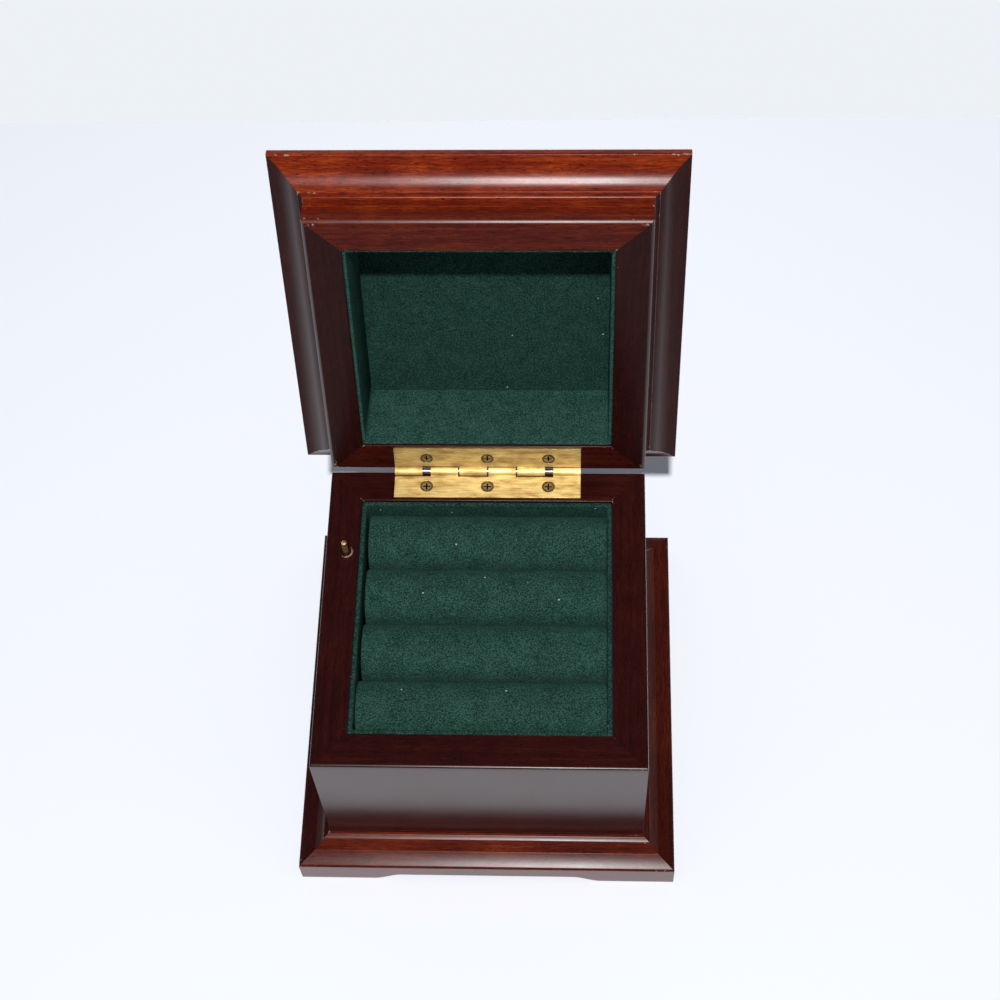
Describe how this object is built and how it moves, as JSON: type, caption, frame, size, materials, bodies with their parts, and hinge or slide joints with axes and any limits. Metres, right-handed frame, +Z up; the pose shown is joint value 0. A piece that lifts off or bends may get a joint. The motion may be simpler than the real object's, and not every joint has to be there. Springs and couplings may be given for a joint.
{
  "type": "musical jewelry box",
  "caption": "Square mahogany jewelry box with ogee plinth and lid mouldings, brass stop hinge, green ring rolls and a wind-up musical movement under the tray.",
  "frame": {"origin": "centre of the box's square footprint, on the table", "axes": "+X is the box's right, +Y its back where the hinge is, +Z up; the lid stands open at rest"},
  "size_m": [0.121, 0.164, 0.1772],
  "materials": {
    "mahogany": "red-brown mahogany under a gloss lacquer",
    "plywood": "bare birch plywood",
    "pine": "bare pine",
    "green_flock": "flocked card",
    "green_velvet": "flocked foam rolls",
    "hinge_brass": "brushed and lacquered",
    "antique_brass": "darkened brass",
    "pin_brass": "turned",
    "movement_brass": "turned and stamped",
    "pin_steel": "drawn wire",
    "screw_steel": "zinc plated",
    "movement_steel": "plated",
    "comb_steel": "ground spring steel",
    "zinc": "die cast, as cast"
  },
  "bodies": {
    "case": {"case_front": "mahogany", "case_back": "mahogany", "case_left": "mahogany", "case_right": "mahogany", "plinth_front": "mahogany", "plinth_back": "mahogany", "plinth_left": "mahogany", "plinth_right": "mahogany", "bottom_board": "plywood", "bottom_screws": "screw_steel", "corner_posts": "pine", "tray_board": "plywood", "tray_lining": "green_flock", "ring_roll_1": "green_velvet", "ring_roll_2": "green_velvet", "ring_roll_3": "green_velvet", "ring_roll_4": "green_velvet", "hinge_leaf_lower": "hinge_brass", "hinge_screws_lower": "antique_brass", "hinge_pin": "pin_steel", "movement_bedplate": "zinc", "movement_screws": "screw_steel", "comb": "comb_steel", "comb_screws": "screw_steel", "governor_frame": "movement_steel"},
    "lid": {"lid_rail_front": "mahogany", "lid_rail_back": "mahogany", "lid_rail_left": "mahogany", "lid_rail_right": "mahogany", "lid_panel": "mahogany", "lid_lining_panel": "green_flock", "lid_lining_walls": "green_flock", "hinge_leaf_upper": "hinge_brass", "hinge_screws_upper": "antique_brass"},
    "stop_pin": {"stop_pin": "pin_brass"},
    "stop_lever": {"stop_lever": "movement_brass"},
    "key": {"winding_key": "movement_steel", "winding_arbor": "movement_steel"},
    "barrel": {"spring_barrel": "movement_brass"},
    "cylinder": {"music_cylinder": "movement_brass"},
    "governor_wheel": {"governor_wheel": "movement_brass"},
    "fly": {"governor_fly": "movement_brass"}
  },
  "joints": [
    {"name": "lid_hinge", "type": "hinge", "parent": "case", "child": "lid", "pos_m": [0, 0.0503, 0.07415], "axis": [1, 0, 0], "range_deg": [0, 104.5]},
    {"name": "stop_pin_slide", "type": "slide", "parent": "case", "child": "stop_pin", "axis": [0, 0, -1], "range_m": [0, 0.0058]},
    {"name": "stop_lever_swing", "type": "hinge", "parent": "case", "child": "stop_lever", "pos_m": [-0.02, 0.0213, 0.0414], "axis": [0, -1, 0], "range_deg": [0, 14.3]},
    {"name": "key_turn", "type": "hinge", "parent": "case", "child": "key", "pos_m": [0.012, 0, 0.01], "axis": [0, 0, 1], "continuous": true},
    {"name": "barrel_turn", "type": "hinge", "parent": "case", "child": "barrel", "pos_m": [0.012, 0, 0.02], "axis": [0, 0, 1], "continuous": true},
    {"name": "cylinder_turn", "type": "hinge", "parent": "case", "child": "cylinder", "pos_m": [0, 0, 0.0323], "axis": [1, 0, 0], "continuous": true},
    {"name": "governor_turn", "type": "hinge", "parent": "case", "child": "governor_wheel", "pos_m": [0, 0.008, 0.02699], "axis": [1, 0, 0], "continuous": true},
    {"name": "fly_turn", "type": "hinge", "parent": "case", "child": "fly", "pos_m": [-0.0258, 0.01345, 0.03], "axis": [0, 0, 1], "continuous": true}
  ],
  "couplings": [
    {"joint": "stop_pin_slide", "follows": "lid_hinge", "m_per_rad": 0.00318},
    {"joint": "stop_lever_swing", "follows": "lid_hinge", "ratio": 0.1359},
    {"joint": "cylinder_turn", "follows": "barrel_turn", "ratio": -4},
    {"joint": "governor_turn", "follows": "barrel_turn", "ratio": 12},
    {"joint": "fly_turn", "follows": "barrel_turn", "ratio": 240}
  ]
}
